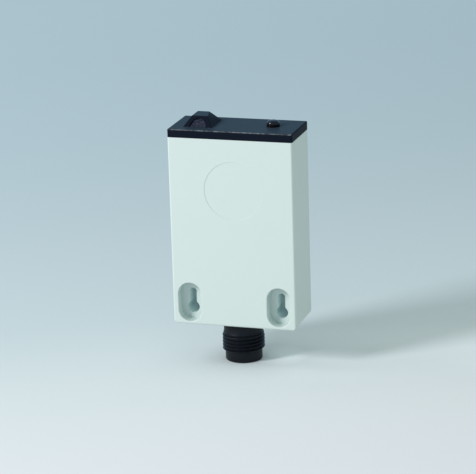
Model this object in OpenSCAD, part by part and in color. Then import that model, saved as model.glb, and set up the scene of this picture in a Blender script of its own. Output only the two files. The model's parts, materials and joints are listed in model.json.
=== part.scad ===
// Flat wall-mounted temperature transmitter: a moulded housing that stands over a round
// threaded plug connector, closed by an end cap with a hooded sensor and an indicator lens.
// Millimetres. Z is up, the printed front faces -Y, and the origin is the middle of the
// connector's lower end.

/* [Housing] */
// Width of the moulded housing, side to side
housing_w = 36; // [35:0.5:44]
// Depth of the housing, front to back
housing_d = 16; // [15.5:0.5:20]
// Height of the housing below its end cap
housing_h = 54.2; // [52:0.2:70]
// Thickness of the housing's walls
wall = 1.5; // [1.3:0.1:1.7]
// Thickness of the housing's floor, which the connector passes through
floor_t = 2.4; // [2.2:0.1:3]
// Radius of the two lower corners, seen from the front
lower_corner_r = 1.8; // [1:0.1:2.4]
// Rounding of the lower front and rear edges
foot_r = 0.6; // [0.3:0.1:0.8]
// Radius of the upright outer edges
upright_r = 0.6; // [0.4:0.1:0.9]
// Radius of the upright corners of the hollow
hollow_r = 1.2; // [0.9:0.1:1.6]

/* [Front recess] */
// Diameter of the shallow round recess on the front
disc_dia = 16.6; // [10:0.2:20]
// Depth of the round recess
disc_depth = 0.1; // [0.1:0.05:0.5]
// Height of the recess's centre above the housing's underside
disc_up = 39.6; // [30:0.2:42]
// Distance of the recess's centre to the right of the middle
disc_aside = 0.6; // [0:0.1:3]

/* [Screw pockets] */
// Width kept free between the two screw pockets, for the connector and its resin
pocket_gap = 19.2; // [18.6:0.1:20]
// Depth of a screw pocket below the front
pocket_depth = 3.2; // [2:0.1:5]
// Material left between a pocket and the housing's side
pocket_side = 1.6; // [1.2:0.1:2]
// Material left between a pocket and the housing's underside
pocket_foot = 0.85; // [0.6:0.05:2]
// Radius of the round end of a keyhole, which the screw passes through
screw_hole_r = 1.75; // [1.4:0.05:2.2]
// Half the width of a keyhole's narrow end
key_slot_r = 1; // [0.7:0.05:1.1]
// Distance between the centres of a keyhole's two ends
key_travel = 4.55; // [3.5:0.05:6]
// Wall of the tube round a screw pocket
boss_wall = 1.2; // [1:0.1:1.5]

/* [Board rails] */
// Thickness of each rail that guides the circuit board
rail_t = 1; // [0.8:0.1:1.5]
// How far a rail reaches in from the side wall
rail_reach = 1.8; // [1.2:0.1:2.5]

/* [End cap] */
// Thickness of the end cap's plate
cap_t = 2.4; // [2:0.1:4]
// Rounding of the end cap's upper edges
cap_edge_r = 0.5; // [0.2:0.05:0.55]
// Depth of the end cap's skirt inside the housing
skirt_h = 3.6; // [3.2:0.1:5]
// Wall thickness of the skirt
skirt_t = 1.3; // [1.1:0.1:1.6]
// Height of the seal ring round the skirt
seal_h = 1.1; // [0.8:0.1:1.4]
// Depth of the seal's groove in the skirt
seal_depth = 0.6; // [0.4:0.05:0.8]
// Width of each latch ridge on the skirt
latch_w = 6; // [3:0.5:9]
// Height of a latch ridge
latch_h = 1; // [0.7:0.1:1.3]
// How far a latch ridge stands out from the skirt
latch_reach = 0.45; // [0.3:0.05:0.6]

/* [Sensor hood] */
// Distance from the cap's left side to the middle of the hood's front
hood_inset = 7.9; // [7:0.1:9]
// Width of the hood at its foot
hood_foot_w = 8.3; // [7.8:0.1:9]
// Width of the hood's flat top at its front
hood_top_w = 4.6; // [4:0.1:5]
// Width of the hood's flat top at its rear
hood_top_rear_w = 3.4; // [2.6:0.1:4]
// Height of the hood above the cap
hood_h = 2.7; // [2.5:0.1:3.2]
// Distance from the cap's front to the foot of the hood's front slope
hood_front = 3; // [2:0.1:3.4]
// Run of the hood's front slope
hood_front_run = 2.8; // [2.2:0.1:3.4]
// Length of the hood's flat top, front to back
hood_top_l = 5.3; // [5:0.1:6]
// Run of the hood's rear slope
hood_rear_run = 1.6; // [1:0.1:2]
// Width of the arched sensor window
window_w = 4.7; // [4.4:0.1:5]
// Height of the arched window above the cap
window_h = 2.2; // [1.8:0.1:2.2]
// How far the sensor's potting lies below the front slope
potting_recess = 0.5; // [0.1:0.05:0.6]

/* [Sensor] */
// Width of the flat temperature sensor
sensor_w = 2; // [1.6:0.1:2.4]
// Length of the flat temperature sensor
sensor_l = 2.4; // [2:0.1:2.8]
// Thickness of the flat temperature sensor
sensor_t = 0.9; // [0.6:0.1:1]
// Radius of the sensor's two lead wires
sensor_lead_r = 0.2; // [0.15:0.05:0.25]
// Distance between the sensor's lead wires
sensor_lead_pitch = 1.1; // [0.9:0.05:1.3]

/* [Indicator] */
// Distance from the cap's right side to the middle of the indicator lens
lens_inset = 7.7; // [6:0.1:9]
// Radius of the indicator lens
lens_r = 1.9; // [1.7:0.05:2.2]
// Height of the lens's straight side above the cap
lens_side_h = 0.8; // [0.4:0.1:1.2]
// Height of the lens's dome above its straight side
lens_dome_h = 1; // [0.8:0.05:1.6]
// Radius of the lamp under the lens
lamp_r = 1.45; // [1.2:0.05:1.5]
// Height of the lamp with its rim
lamp_h = 5; // [4.6:0.1:5.1]
// Thickness of the lamp's rim
lamp_rim_t = 0.9; // [0.6:0.1:1.2]
// Radius of the lamp's legs
lamp_leg_r = 0.25; // [0.2:0.05:0.3]
// Distance between the lamp's legs
lamp_leg_pitch = 1.9; // [1.6:0.1:2]

/* [Connector] */
// Length of the connector below the housing
conn_reach = 11.7; // [11.4:0.1:15]
// Outer radius of the plug connector's thread
thread_r = 6; // [5.9:0.05:6.1]
// Length of the threaded stretch
thread_l = 5.5; // [4.5:0.1:7]
// Radius of the plain nose below the thread
nose_r = 5.25; // [5.1:0.05:5.4]
// Length of the plain nose
nose_l = 2.2; // [1.8:0.1:3]
// Radius of the neck between the thread and the housing
neck_r = 5.55; // [5.5:0.05:5.7]
// Radius of the socket that the mating plug enters
socket_r = 4.25; // [4.1:0.05:4.4]
// Depth of the socket
socket_depth = 8.5; // [7:0.1:9]
// Radius of the connector's flange inside the housing
flange_r = 6.1; // [5.9:0.05:6.2]
// Thickness of the flange
flange_t = 1.4; // [1:0.1:2]
// Radius of the collar above the flange
collar_r = 5.4; // [5.2:0.05:5.6]
// Height of the collar above the flange
collar_h = 2.2; // [1.8:0.1:3]
// Width of the coding key in the socket
key_w = 0.9; // [0.6:0.05:1.1]
// How far the coding key stands into the socket
key_reach = 0.6; // [0.4:0.05:0.7]

/* [Contacts] */
// Radius of each contact pin
pin_r = 0.5; // [0.4:0.05:0.5]
// Diameter of the circle that the pins stand on
pin_circle = 5.5; // [5.4:0.05:5.7]
// How far the pins' tips lie inside the socket's mouth
pin_recess = 1.3; // [0.8:0.1:2]
// Radius of a pin's solder cup
cup_r = 0.8; // [0.7:0.05:0.9]
// Length of a pin's solder cup
cup_l = 2.4; // [1.8:0.1:3]
// Radius of an insulated wire
wire_r = 0.6; // [0.4:0.05:0.65]

/* [Sealing] */
// Thickness of the ring in the neck's groove
o_ring_t = 0.8; // [0.7:0.05:0.85]
// Depth of the sealing resin over the housing's floor
resin_h = 5.6; // [5:0.1:6]

/* [Circuit board] */
// Thickness of the circuit board
board_t = 1.5; // [1:0.1:1.6]
// Width of the board's tongue between the screw pockets
tongue_w = 13; // [10:0.5:13]
// Length of the solder pads that the wires reach
pad_l = 2.2; // [1.6:0.1:2.6]

/* [Components] */
// Width, length and height of the controller chip's body
controller_size = [7.5, 10.3, 2.3];
// Width, length and height of the amplifier chip's body
amplifier_size = [3.9, 4.9, 1.6];
// Distance between neighbouring chip legs
leg_pitch = 1.27; // [1:0.01:1.3]
// Width, length and height of the quartz crystal's can
crystal_size = [4.7, 11, 3.4];
// Radius of the buffer capacitor's can
can_r = 3.1; // [2.5:0.1:3.2]
// Height of the buffer capacitor's can
can_h = 5; // [4:0.1:5.2]
// Width, length and height of the supply choke
choke_size = [6, 6, 3];
// Width, length and height of a rectifier diode
diode_size = [2.6, 4.3, 2.1];
// Width, length and height of a ceramic capacitor
ceramic_size = [1.25, 2, 1.1];
// Width, length and height of a resistor
resistor_size = [1.25, 2, 0.5];
// Width, length and height of the bus transistor's body
transistor_size = [6.5, 3.5, 1.6];

/* [Hidden] */
$fn = 96;

// Clearances: a sliding fit, a snug seat, and the overrun of every cut
slide_gap = 0.1;
snug_gap = 0.03;
overrun = 1;

// Levels, from the connector's lower end upwards
underside_z = conn_reach;
floor_z = underside_z + floor_t;
rim_z = underside_z + housing_h;
cap_top_z = rim_z + cap_t;
skirt_z = rim_z - skirt_h;
seal_z = rim_z - seal_h * 3 / 2;

// The hollow of the housing
hollow_w = housing_w - 2 * wall;
hollow_d = housing_d - 2 * wall;
front_y = -housing_d / 2;

// Screw pockets
pocket_r = (housing_w / 2 - pocket_side - pocket_gap / 2) / 2;
hole_x = pocket_gap / 2 + pocket_r;
hole_z = underside_z + pocket_foot + pocket_r;
boss_r = pocket_r + boss_wall;
boss_top_z = hole_z + key_travel + boss_r;

// Connector: its carrier's head is let into the collar
thread_depth = 0.55;
nose_edge = 0.3;
thread_z = nose_l;
neck_z = thread_z + thread_l;
flange_z = floor_z + flange_t;
collar_z = flange_z + collar_h;
neck_hole_r = neck_r + slide_gap / 2;
ring_z = (underside_z + floor_z) / 2;
carrier_head_t = 1.2;
carrier_head_r = (collar_r + socket_r) / 2;
carrier_proud = 0.4;
carrier_top_z = collar_z + carrier_proud;
cup_top_z = carrier_top_z + cup_l;
pin_place_r = pin_circle / 2;

// Circuit board: its front face is where the wires of the side pins run straight up
board_front = wire_r + snug_gap;
board_back = board_front + board_t;
board_w = hollow_w - 2 * slide_gap;
board_low_z = boss_top_z + slide_gap;
board_top_z = skirt_z - slide_gap;
board_l = board_top_z - board_low_z;
tongue_z = cup_top_z + wire_r;
wire_top_z = board_low_z + pad_l / 2;
leg_low_z = board_top_z - pad_l;

// Sensor and lamp, whose legs lie on the board's front face
sensor_x = hood_inset - housing_w / 2;
lens_x = housing_w / 2 - lens_inset;
lead_y = board_front - snug_gap - sensor_lead_r;
lamp_y = board_front - snug_gap - lamp_leg_r;
hood_foot_y = front_y + hood_front;
sensor_z = cap_top_z - sensor_t / 3;
shaft_l = sensor_l + 2 * sensor_t;
lamp_z = board_top_z + slide_gap;
lamp_rim_r = lamp_r + slide_gap * 3;
lens_flange_t = cap_t / 3;
lens_flange_r = lens_r + slide_gap * 4;

// A chip's legs reach out by this share of their spacing, and its body stands off the board
// by this share of its height
leg_reach_share = 0.8;
chip_lift_share = 0.1;
leg_reach = leg_pitch * leg_reach_share;

// Four columns of components share the free width between the rails in equal gaps
free_w = hollow_w - 2 * rail_reach;
column_w = [ceramic_size[0], controller_size[0] + 2 * leg_reach, crystal_size[0], 2 * can_r];
function sum_of_first(n) = n == 0 ? 0 : column_w[n - 1] + sum_of_first(n - 1);
column_gap = (free_w - sum_of_first(len(column_w))) / (len(column_w) + 1);
column_x = [for (i = [0 : len(column_w) - 1])
    (i + 1) * column_gap + sum_of_first(i) + column_w[i] / 2 - free_w / 2];

// Heights of the components' middles, as shares of the board's length above the screw pockets
chip_height_shares = [0.38, 0.7];
crystal_height_share = 0.38;
can_height_share = 0.18;
choke_height_share = 0.5;
transistor_height_share = 0.68;
diode_height_share = 0.08;
ceramic_height_shares = [0.2, 0.32, 0.44, 0.56, 0.7];
resistor_height_share = 0.84;
terminator_height_share = 0.72;

// Places of the diodes and of the resistors' row, as shares of the board's width
diode_place_shares = [-0.32, -0.2];
resistor_place_shares = [-0.28, -0.14, 0, 0.14, 0.28];

// Number of sides and of rings in a wire
wire_sides = 12;
wire_rings = 14;

// A rectangle with round corners, centred on the origin
module round_rect(w, h, r) {
    square([w - 2 * r, h], center = true);
    square([w, h - 2 * r], center = true);
    for (x = [-1, 1], y = [-1, 1])
        translate([x * (w / 2 - r), y * (h / 2 - r)])
            circle(r);
}

// An upright slot with round ends, from the origin upwards
module slot_outline(r, travel) {
    circle(r);
    translate([0, travel])
        circle(r);
    translate([-r, 0])
        square([2 * r, travel]);
}

// Extrudes an outline drawn in X and Z from y to y + depth
module along_y(y, depth) {
    translate([0, y + depth, 0])
        rotate([90, 0, 0])
            linear_extrude(depth)
                children();
}

// Extrudes an outline drawn in Y and Z from x to x + length
module along_x(x, length) {
    translate([x, 0, 0])
        rotate([90, 0, 90])
            linear_extrude(length)
                children();
}

// The rectangular ring between two round-cornered outlines
module frame_ring(w, d, r, thickness, height) {
    linear_extrude(height)
        difference() {
            round_rect(w, d, r);
            round_rect(w - 2 * thickness, d - 2 * thickness, r - min(thickness, r / 2));
        }
}

// An upright view of the housing, w wide: square above, with its two lower corners rounded
module housing_view(w, r) {
    translate([-w / 2, underside_z + r])
        square([w, housing_h - r]);
    translate([-w / 2 + r, underside_z])
        square([w - 2 * r, 2 * r]);
    for (x = [-1, 1])
        translate([x * (w / 2 - r), underside_z + r])
            circle(r);
}

// Both latch ridges of one long side, grown by gap; side is -1 in front and 1 behind
module latch_ridges(side, gap) {
    skirt_y = hollow_d / 2 - slide_gap;
    low_z = skirt_z + latch_h / 4 - gap;
    high_z = skirt_z + latch_h * 5 / 4 + gap;
    tip_y = skirt_y + latch_reach + gap;
    for (x = [-1, 1])
        along_x(x * hollow_w / 4 - latch_w / 2 - gap, latch_w + 2 * gap)
            polygon([[side * (skirt_y - skirt_t / 2), low_z], [side * skirt_y, low_z],
                     [side * tip_y, (low_z + 2 * high_z) / 3],
                     [side * skirt_y, high_z], [side * (skirt_y - skirt_t / 2), high_z]]);
}

// One pair of rails that hold a side edge of the circuit board
module rail_pair(side) {
    rail_l = board_top_z - hole_z;
    for (y = [board_front - slide_gap - rail_t, board_back + slide_gap])
        translate([side > 0 ? hollow_w / 2 - rail_reach : -hollow_w / 2 - wall / 2, y, hole_z])
            cube([rail_reach + wall / 2, rail_t, rail_l]);
}

// The keyhole through a screw pocket's floor
module keyhole_outline() {
    circle(screw_hole_r);
    slot_outline(key_slot_r, key_travel);
}

module housing() {
    color([0.86, 0.9, 0.9])
        difference() {
            union() {
                difference() {
                    intersection() {
                        along_y(front_y - overrun, housing_d + 2 * overrun)
                            housing_view(housing_w, lower_corner_r);
                        along_x(-housing_w / 2 - overrun, housing_w + 2 * overrun)
                            housing_view(housing_d, foot_r);
                        translate([0, 0, underside_z - overrun])
                            linear_extrude(housing_h + overrun)
                                round_rect(housing_w, housing_d, upright_r);
                    }
                    translate([0, 0, floor_z])
                        linear_extrude(housing_h)
                            round_rect(hollow_w, hollow_d, hollow_r);
                    for (side = [-1, 1])
                        latch_ridges(side, slide_gap);
                }
                for (side = [-1, 1]) {
                    along_y(front_y + wall / 2, housing_d - wall)
                        intersection() {
                            housing_view(housing_w, lower_corner_r);
                            translate([side * hole_x, hole_z])
                                slot_outline(boss_r, key_travel);
                        }
                    rail_pair(side);
                }
            }
            for (side = [-1, 1])
                translate([side * hole_x, 0, hole_z]) {
                    along_y(front_y - overrun, pocket_depth + overrun)
                        slot_outline(pocket_r, key_travel);
                    along_y(front_y, housing_d + overrun)
                        keyhole_outline();
                }
            translate([0, 0, underside_z - overrun])
                cylinder(r = neck_hole_r, h = floor_t + 2 * overrun);
            translate([disc_aside, 0, underside_z + disc_up])
                along_y(front_y - overrun, disc_depth + overrun)
                    circle(d = disc_dia);
        }
}

// Side view and front view of the cap's plate: round at its two upper corners
module cap_section(w) {
    r = cap_edge_r;
    translate([-w / 2, rim_z - overrun])
        square([w, cap_t - r + overrun]);
    translate([-w / 2 + r, rim_z])
        square([w - 2 * r, cap_t]);
    for (x = [-1, 1])
        translate([x * (w / 2 - r), cap_top_z - r])
            circle(r);
}

module cap_plate() {
    intersection() {
        translate([0, 0, rim_z])
            linear_extrude(cap_t + overrun)
                round_rect(housing_w, housing_d, upright_r);
        along_y(front_y - overrun, housing_d + 2 * overrun)
            cap_section(housing_w);
        along_x(-housing_w / 2 - overrun, housing_w + 2 * overrun)
            cap_section(housing_d);
    }
}

// The hood is what three views share: a sloping front view, a sloping side view, and the view along
// the inner edge of the flat top, which draws in towards the rear and so folds the inner side
module hood_block() {
    root = cap_t / 2;
    turn = atan2(hood_top_w - hood_top_rear_w, hood_top_l);
    inner_run = (hood_foot_w - hood_top_w) / 2 * cos(turn) + (hood_top_l + hood_rear_run) * sin(turn);
    intersection() {
        translate([sensor_x, 0, cap_top_z])
            along_y(front_y, housing_d)
                polygon([[-hood_foot_w / 2, -root], [hood_foot_w / 2, -root], [hood_foot_w / 2, 0],
                         [hood_top_w / 2, hood_h], [-hood_top_w / 2, hood_h], [-hood_foot_w / 2, 0]]);
        translate([0, hood_foot_y, cap_top_z])
            along_x(-housing_w / 2, housing_w)
                hood_side(root, 0);
        translate([sensor_x + hood_top_w / 2, hood_foot_y + hood_front_run, cap_top_z])
            rotate([0, 0, turn])
                along_y(-housing_d, 2 * housing_d)
                    polygon([[-housing_d, -root], [inner_run, -root], [inner_run, 0], [0, hood_h],
                             [-housing_d, hood_h]]);
    }
}

// Side view of the hood, from the foot of its front slope, drawn in by inset
module hood_side(root, inset) {
    flat_y = hood_front_run;
    end_y = flat_y + hood_top_l;
    foot_y = end_y + hood_rear_run;
    polygon([[inset, -root], [foot_y, -root], [foot_y, 0], [end_y, hood_h], [flat_y + inset, hood_h],
             [inset, 0]]);
}

// Front view of the arched window, drawn in by gap
module window_outline(gap) {
    half = window_w / 2 - gap;
    rise = window_h - gap;
    arch_r = (half * half + rise * rise) / (2 * rise);
    intersection() {
        translate([0, rise - arch_r])
            circle(arch_r);
        translate([-half, gap])
            square([2 * half, rise]);
    }
}

// The sensor's chamber: the arched tunnel behind the window and the shaft through the plate
module sensor_chamber(gap, front_reach) {
    tunnel_end = hood_foot_y + hood_front_run + hood_top_l / 3;
    translate([sensor_x, 0, cap_top_z]) {
        along_y(hood_foot_y - front_reach, tunnel_end - hood_foot_y + front_reach - gap)
            window_outline(gap);
        translate([-sensor_w / 2 - sensor_t + gap, lead_y - shaft_l * 2 / 3 + gap, -cap_t - gap])
            cube([sensor_w + 2 * sensor_t - 2 * gap, shaft_l - 2 * gap, cap_t + sensor_t]);
    }
}

module end_cap() {
    skirt_w = hollow_w - 2 * slide_gap;
    skirt_d = hollow_d - 2 * slide_gap;
    color([0.1, 0.12, 0.14])
        difference() {
            union() {
                cap_plate();
                hood_block();
                translate([0, 0, skirt_z])
                    frame_ring(skirt_w, skirt_d, hollow_r - slide_gap, skirt_t, skirt_h + cap_t / 2);
                for (side = [-1, 1])
                    latch_ridges(side, 0);
            }
            translate([0, 0, seal_z])
                frame_ring(skirt_w + 2 * overrun, skirt_d + 2 * overrun, hollow_r + overrun,
                           seal_depth + overrun, seal_h);
            sensor_chamber(0, overrun);
            translate([lens_x, lamp_y, rim_z - overrun]) {
                cylinder(r = lens_r + snug_gap, h = cap_t + 2 * overrun);
                cylinder(r = lens_flange_r + snug_gap, h = lens_flange_t + overrun);
            }
        }
}

module cap_seal() {
    color([0.2, 0.2, 0.22])
        translate([0, 0, seal_z + snug_gap])
            frame_ring(hollow_w - 2 * snug_gap, hollow_d - 2 * snug_gap, hollow_r - snug_gap,
                       seal_depth + slide_gap - 2 * snug_gap, seal_h - 2 * snug_gap);
}

module sensor_potting() {
    color([0.16, 0.14, 0.19])
        difference() {
            intersection() {
                sensor_chamber(snug_gap, 0);
                translate([0, hood_foot_y, cap_top_z])
                    along_x(sensor_x - hood_foot_w, 2 * hood_foot_w)
                        hood_side(cap_t, potting_recess);
            }
            translate([sensor_x, lead_y, sensor_z])
                sensor_block(snug_gap);
            sensor_lead_pair(sensor_lead_r + snug_gap);
        }
}

// The flat sensor, grown by gap; its leads leave from the underside near its back end
module sensor_block(gap) {
    translate([-sensor_w / 2 - gap, -sensor_l * 3 / 4 - gap, -gap])
        cube([sensor_w + 2 * gap, sensor_l + 2 * gap, sensor_t + 2 * gap]);
}

module sensor_element() {
    color([0.85, 0.86, 0.84])
        translate([sensor_x, lead_y, sensor_z])
            sensor_block(0);
}

module sensor_lead_pair(r) {
    for (side = [-1, 1])
        translate([sensor_x + side * sensor_lead_pitch / 2, lead_y, leg_low_z])
            cylinder(r = r, h = sensor_z - leg_low_z, $fn = 24);
}

module sensor_leads() {
    color([0.8, 0.78, 0.7])
        sensor_lead_pair(sensor_lead_r);
}

// The lens: a dome on a straight stem, with a flange under the plate and a hollow for the lamp
module indicator_lens() {
    ball_r = (lens_r * lens_r + lens_dome_h * lens_dome_h) / (2 * lens_dome_h);
    color([0.25, 0.03, 0.05])
        difference() {
            union() {
                translate([lens_x, lamp_y, rim_z])
                    cylinder(r = lens_flange_r, h = lens_flange_t - snug_gap);
                translate([lens_x, lamp_y, rim_z])
                    cylinder(r = lens_r, h = cap_t + lens_side_h);
                translate([lens_x, lamp_y, cap_top_z + lens_side_h + lens_dome_h - ball_r])
                    intersection() {
                        sphere(ball_r);
                        translate([0, 0, ball_r - lens_dome_h - lens_dome_h / 4])
                            cylinder(r = lens_r, h = 2 * lens_dome_h);
                    }
            }
            translate([lens_x, lamp_y, rim_z - overrun])
                cylinder(r = lamp_r + slide_gap, h = lamp_z + lamp_h - rim_z + overrun + slide_gap);
        }
}

module status_lamp() {
    color([0.55, 0.08, 0.1])
        translate([lens_x, lamp_y, lamp_z]) {
            cylinder(r = lamp_rim_r, h = lamp_rim_t);
            cylinder(r = lamp_r, h = lamp_h - lamp_r);
            translate([0, 0, lamp_h - lamp_r])
                sphere(lamp_r);
        }
}

module lamp_legs() {
    color([0.8, 0.8, 0.8])
        for (side = [-1, 1])
            translate([lens_x + side * lamp_leg_pitch / 2, lamp_y, leg_low_z])
                cylinder(r = lamp_leg_r, h = lamp_z - leg_low_z, $fn = 24);
}

// The board: wide above the screw pockets, with a tongue between them
module circuit_board() {
    color([0.1, 0.4, 0.25])
        along_y(board_front, board_t) {
            translate([-board_w / 2, board_low_z])
                square([board_w, board_l]);
            translate([-tongue_w / 2, tongue_z])
                square([tongue_w, board_low_z - tongue_z + overrun]);
        }
}

// Places a component on the board's front face, at x and at a share of the board's length
module on_board(x, height_share) {
    translate([x, board_front, board_low_z + height_share * board_l])
        rotate([90, 0, 0])
            children();
}

// A moulded component body that rises from the board
module component_body(size) {
    translate([-size[0] / 2, -size[1] / 2, 0])
        cube(size);
}

module chip_body(size) {
    translate([0, 0, size[2] * chip_lift_share])
        component_body([size[0], size[1], size[2] * (1 - chip_lift_share)]);
}

module controller_chip() {
    color([0.12, 0.12, 0.13])
        on_board(column_x[1], chip_height_shares[0])
            chip_body(controller_size);
}

module amplifier_chip() {
    color([0.12, 0.12, 0.13])
        on_board(column_x[1], chip_height_shares[1])
            chip_body(amplifier_size);
}

// The bent legs along both long sides of a chip
module leg_rows(size) {
    leg_w = leg_pitch / 3;
    leg_t = leg_w / 2;
    mid_z = size[2] / 2;
    count = floor((size[1] - leg_pitch / 2) / leg_pitch);
    for (side = [-1, 1], i = [0 : count - 1])
        translate([side * size[0] / 2, (i - (count - 1) / 2) * leg_pitch + leg_w / 2, 0])
            rotate([90, 0, 0])
                linear_extrude(leg_w)
                    polygon([[0, mid_z], [side * leg_reach / 2, mid_z], [side * leg_reach / 2, leg_t],
                             [side * leg_reach, leg_t], [side * leg_reach, 0],
                             [side * (leg_reach / 2 - leg_t), 0],
                             [side * (leg_reach / 2 - leg_t), mid_z - leg_t], [0, mid_z - leg_t]]);
}

module chip_legs() {
    color([0.8, 0.8, 0.82]) {
        on_board(column_x[1], chip_height_shares[0])
            leg_rows(controller_size);
        on_board(column_x[1], chip_height_shares[1])
            leg_rows(amplifier_size);
    }
}

module crystal() {
    r = crystal_size[0] / 2;
    base_t = crystal_size[2] / 8;
    color([0.78, 0.78, 0.76])
        on_board(column_x[2], crystal_height_share) {
            linear_extrude(base_t)
                round_rect(crystal_size[0], crystal_size[1], r / 4);
            translate([0, -crystal_size[1] / 2 + r, 0])
                linear_extrude(crystal_size[2])
                    slot_outline(r * 9 / 10, crystal_size[1] - 2 * r);
        }
}

module buffer_capacitor() {
    base_t = can_h / 6;
    color([0.7, 0.71, 0.73])
        on_board(column_x[3], can_height_share) {
            linear_extrude(base_t)
                round_rect(2 * can_r, 2 * can_r, can_r / 3);
            cylinder(r = can_r * 19 / 20, h = can_h);
        }
}

module supply_choke() {
    color([0.22, 0.22, 0.23])
        on_board(column_x[3], choke_height_share)
            linear_extrude(choke_size[2])
                round_rect(choke_size[0], choke_size[1], choke_size[0] / 6);
}

module ceramic_capacitors() {
    color([0.62, 0.48, 0.33])
        for (height_share = ceramic_height_shares)
            on_board(column_x[0], height_share)
                component_body(ceramic_size);
}

// The resistors: a row below the sensor and the lamp, and a pair that ends the bus
module resistors() {
    color([0.15, 0.15, 0.17]) {
        for (place_share = resistor_place_shares)
            on_board(place_share * board_w, resistor_height_share)
                component_body(resistor_size);
        for (side = [-1, 1])
            on_board(column_x[3] + side * resistor_size[0], terminator_height_share)
                component_body(resistor_size);
    }
}

module rectifier_diodes() {
    color([0.14, 0.14, 0.15])
        for (place_share = diode_place_shares)
            on_board(place_share * board_w, diode_height_share)
                component_body(diode_size);
}

// The transistor: a body with a wide tab on one side and three legs on the other
module bus_transistor() {
    leg_t = transistor_size[2] / 8;
    leg_l = transistor_size[1] / 2;
    leg_w = transistor_size[0] / 9;
    color([0.15, 0.15, 0.16])
        on_board(column_x[2], transistor_height_share) {
            component_body(transistor_size);
            translate([0, transistor_size[1] / 2, 0])
                component_body([transistor_size[0] / 2, 2 * leg_l, leg_t]);
            for (i = [-1, 0, 1])
                translate([i * transistor_size[0] / 3, -transistor_size[1] / 2, 0])
                    component_body([leg_w, 2 * leg_l, leg_t]);
        }
}

// The shell is one turned outline: nose, thread, neck, flange and collar round a bore
module shell_outline() {
    bore_r = socket_r;
    head_r = carrier_head_r + snug_gap;
    head_z = collar_z - carrier_head_t + carrier_proud;
    polygon([[bore_r + nose_edge, 0], [nose_r - nose_edge, 0], [nose_r, nose_edge], [nose_r, thread_z],
             [thread_r - thread_depth, thread_z], [thread_r, thread_z + thread_depth],
             [thread_r, neck_z - thread_depth], [neck_r, neck_z], [neck_r, floor_z],
             [flange_r, floor_z], [flange_r, flange_z], [collar_r, flange_z], [collar_r, collar_z],
             [head_r, collar_z], [head_r, head_z], [bore_r, head_z], [bore_r, nose_edge]]);
}

module connector_shell() {
    groove_h = o_ring_t + 2 * slide_gap;
    groove_r = neck_hole_r - o_ring_t - snug_gap;
    color([0.08, 0.09, 0.11]) {
        difference() {
            rotate_extrude()
                shell_outline();
            translate([0, 0, ring_z - groove_h / 2])
                difference() {
                    cylinder(r = neck_r + overrun, h = groove_h);
                    translate([0, 0, -overrun])
                        cylinder(r = groove_r, h = groove_h + 2 * overrun);
                }
        }
        rotate([0, 0, 45])
            translate([socket_r - key_reach, -key_w / 2, pin_recess])
                cube([key_reach + nose_edge, key_w, socket_depth - pin_recess]);
    }
}

// The four contacts stand on the X and Y axes
module at_pins() {
    for (turn = [0 : 90 : 270])
        rotate([0, 0, turn])
            translate([pin_place_r, 0, 0])
                children();
}

module contact_carrier() {
    head_z = carrier_top_z - carrier_head_t;
    color([0.13, 0.14, 0.16])
        difference() {
            union() {
                translate([0, 0, socket_depth])
                    cylinder(r = socket_r - snug_gap, h = carrier_top_z - socket_depth);
                translate([0, 0, head_z + snug_gap])
                    cylinder(r = carrier_head_r, h = carrier_head_t - snug_gap);
            }
            at_pins()
                translate([0, 0, socket_depth - overrun])
                    cylinder(r = pin_r + snug_gap, h = carrier_top_z - socket_depth + 2 * overrun, $fn = 32);
        }
}

module contact_pins() {
    tip_l = pin_r;
    color([0.83, 0.68, 0.35])
        at_pins() {
            translate([0, 0, pin_recess + tip_l])
                cylinder(r = pin_r, h = carrier_top_z + cup_l / 2 - pin_recess - tip_l, $fn = 32);
            translate([0, 0, pin_recess])
                cylinder(r1 = pin_r / 2, r2 = pin_r, h = tip_l, $fn = 32);
            translate([0, 0, carrier_top_z])
                cylinder(r = cup_r, h = cup_l, $fn = 32);
        }
}

module connector_o_ring() {
    color([0.05, 0.05, 0.05])
        translate([0, 0, ring_z])
            rotate_extrude()
                translate([neck_hole_r - snug_gap / 2 - o_ring_t / 2, 0])
                    circle(d = o_ring_t - snug_gap, $fn = 32);
}

// A wire's centre at share t of its height: it eases from its cup to its pad
function wire_point(from_y, to_y, t) =
    [from_y + (to_y - from_y) * (1 - cos(180 * t)) / 2, cup_top_z + (wire_top_z - cup_top_z) * t];

// Slope of that centre line, in Y per unit of height
function wire_slope(from_y, to_y, t) =
    (to_y - from_y) * PI / 2 * sin(180 * t) / (wire_top_z - cup_top_z);

// One ring of a wire, square to its centre line
function wire_ring(from_y, to_y, t) =
    let (centre = wire_point(from_y, to_y, t), lean = atan(wire_slope(from_y, to_y, t)))
    [for (i = [0 : wire_sides - 1])
        let (a = 360 * i / wire_sides, out = wire_r * sin(a))
        [wire_r * cos(a), centre[0] + out * cos(lean), centre[1] - out * sin(lean)]];

module wire(x, from_y, to_y) {
    points = [for (k = [0 : wire_rings - 1]) each wire_ring(from_y, to_y, k / (wire_rings - 1))];
    n = wire_sides;
    sides = [for (k = [0 : wire_rings - 2], i = [0 : n - 1]) let (j = (i + 1) % n)
        each [[k * n + i, (k + 1) * n + i, k * n + j], [k * n + j, (k + 1) * n + i, (k + 1) * n + j]]];
    low_end = [for (i = [1 : n - 2]) [0, i, i + 1]];
    last = (wire_rings - 1) * n;
    high_end = [for (i = [1 : n - 2]) [last, last + i + 1, last + i]];
    translate([x, 0, 0])
        polyhedron(points, concat(sides, low_end, high_end));
}

module connector_wires() {
    front_pad_y = board_front - snug_gap - wire_r;
    rear_pad_y = board_back + snug_gap + wire_r;
    color([0.45, 0.3, 0.2]) {
        for (side = [-1, 1])
            wire(side * pin_place_r, 0, front_pad_y);
        wire(0, -pin_place_r, front_pad_y);
        wire(0, pin_place_r, rear_pad_y);
    }
}

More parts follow.
